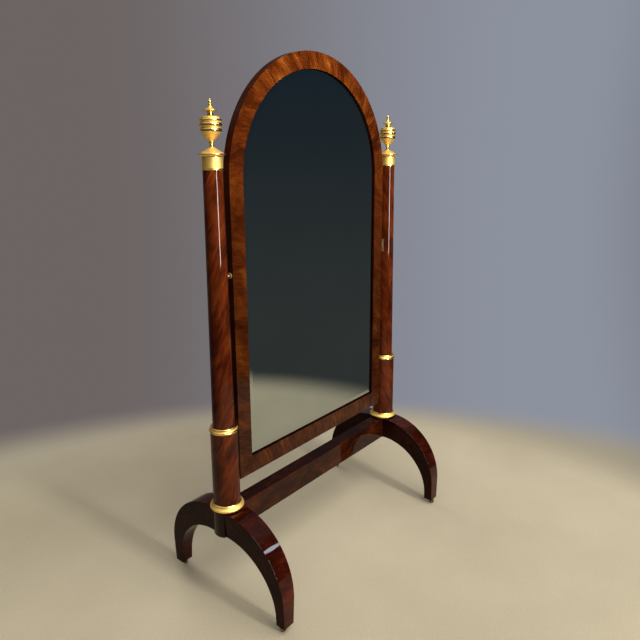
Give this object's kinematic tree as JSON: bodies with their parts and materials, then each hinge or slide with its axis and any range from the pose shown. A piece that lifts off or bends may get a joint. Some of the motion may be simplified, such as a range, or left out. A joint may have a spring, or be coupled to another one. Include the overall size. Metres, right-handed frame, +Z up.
{
  "type": "cheval floor mirror",
  "caption": "Arched swing mirror hung between two turned columns on curved legs with a stretcher, with gilt bronze rings, capitals and urn finials.",
  "frame": {"origin": "on the floor, midway between the four feet", "axes": "+X along the width to the viewer's right, -Y towards the viewer in front of the glass, +Z up"},
  "size_m": [1.0086, 0.524, 1.757],
  "materials": {
    "column_mahogany": "flame mahogany veneer, French polished",
    "base_mahogany": "dark red mahogany veneer, French polished",
    "frame_mahogany": "cross-banded flame mahogany veneer, French polished",
    "gilt_bronze": "mercury-gilt bronze, part matt and part burnished",
    "old_brass": "worn brass",
    "dark_brass": "dark tarnished brass",
    "iron": "old iron",
    "mirror_glass": "old silvered glass with a bevelled edge",
    "softwood": "aged unpolished softwood",
    "leather": "greased leather"
  },
  "bodies": {
    "stand": {"base_ring_left": "gilt_bronze", "base_ring_right": "gilt_bronze", "capital_left": "gilt_bronze", "capital_right": "gilt_bronze", "caster_plate_back_left": "dark_brass", "caster_plate_back_right": "dark_brass", "caster_plate_front_left": "dark_brass", "caster_plate_front_right": "dark_brass", "caster_screws": "iron", "column_drum_left": "column_mahogany", "column_drum_right": "column_mahogany", "column_shaft_left": "column_mahogany", "column_shaft_right": "column_mahogany", "column_tie_rods": "iron", "finial_base_left": "gilt_bronze", "finial_base_right": "gilt_bronze", "finial_lid_left": "gilt_bronze", "finial_lid_right": "gilt_bronze", "finial_rods": "iron", "finial_urn_left": "gilt_bronze", "finial_urn_right": "gilt_bronze", "hub_left": "base_mahogany", "hub_right": "base_mahogany", "leg_back_left": "base_mahogany", "leg_back_right": "base_mahogany", "leg_dowels": "softwood", "leg_front_left": "base_mahogany", "leg_front_right": "base_mahogany", "middle_ring_left": "gilt_bronze", "middle_ring_right": "gilt_bronze", "pivot_plate_left": "old_brass", "pivot_plate_right": "old_brass", "pivot_plate_screws": "old_brass", "stretcher": "base_mahogany", "tie_rod_nuts": "iron", "tie_rod_washers": "iron"},
    "mirror": {"stile_left": "frame_mahogany", "stile_right": "frame_mahogany", "bottom_rail": "frame_mahogany", "arched_head": "frame_mahogany", "mirror_glass": "mirror_glass", "backboard": "softwood", "glass_fillets": "softwood", "backboard_screws": "iron", "pivot_pin_left": "old_brass", "pivot_pin_right": "old_brass", "friction_washer_left": "leather", "friction_washer_right": "leather"},
    "swivel_front_left": {"caster_fork_front_left": "dark_brass", "caster_axle_front_left": "iron"},
    "wheel_front_left": {"caster_wheel_front_left": "dark_brass"},
    "swivel_front_right": {"caster_fork_front_right": "dark_brass", "caster_axle_front_right": "iron"},
    "wheel_front_right": {"caster_wheel_front_right": "dark_brass"},
    "swivel_back_left": {"caster_fork_back_left": "dark_brass", "caster_axle_back_left": "iron"},
    "wheel_back_left": {"caster_wheel_back_left": "dark_brass"},
    "swivel_back_right": {"caster_fork_back_right": "dark_brass", "caster_axle_back_right": "iron"},
    "wheel_back_right": {"caster_wheel_back_right": "dark_brass"}
  },
  "joints": [
    {"name": "mirror_tilt", "type": "hinge", "parent": "stand", "child": "mirror", "pos_m": [0, 0, 1.075], "axis": [1, 0, 0], "continuous": true},
    {"name": "swivel_front_left", "type": "hinge", "parent": "stand", "child": "swivel_front_left", "pos_m": [-0.45, -0.2445, 0.022], "axis": [0, 0, 1], "continuous": true},
    {"name": "roll_front_left", "type": "hinge", "parent": "swivel_front_left", "child": "wheel_front_left", "pos_m": [-0.4552, -0.2415, 0.01], "axis": [-0.5, -0.866, 0], "continuous": true},
    {"name": "swivel_front_right", "type": "hinge", "parent": "stand", "child": "swivel_front_right", "pos_m": [0.45, -0.2445, 0.022], "axis": [0, 0, 1], "continuous": true},
    {"name": "roll_front_right", "type": "hinge", "parent": "swivel_front_right", "child": "wheel_front_right", "pos_m": [0.45386, -0.2491, 0.01], "axis": [0.766, 0.6428, 0], "continuous": true},
    {"name": "swivel_back_left", "type": "hinge", "parent": "stand", "child": "swivel_back_left", "pos_m": [-0.45, 0.2445, 0.022], "axis": [0, 0, 1], "continuous": true},
    {"name": "roll_back_left", "type": "hinge", "parent": "swivel_back_left", "child": "wheel_back_left", "pos_m": [-0.44436, 0.24655, 0.01], "axis": [-0.342, 0.9397, 0], "continuous": true},
    {"name": "swivel_back_right", "type": "hinge", "parent": "stand", "child": "swivel_back_right", "pos_m": [0.45, 0.2445, 0.022], "axis": [0, 0, 1], "continuous": true},
    {"name": "roll_back_right", "type": "hinge", "parent": "swivel_back_right", "child": "wheel_back_right", "pos_m": [0.44456, 0.24196, 0.01], "axis": [0.4226, -0.9063, 0], "continuous": true}
  ]
}
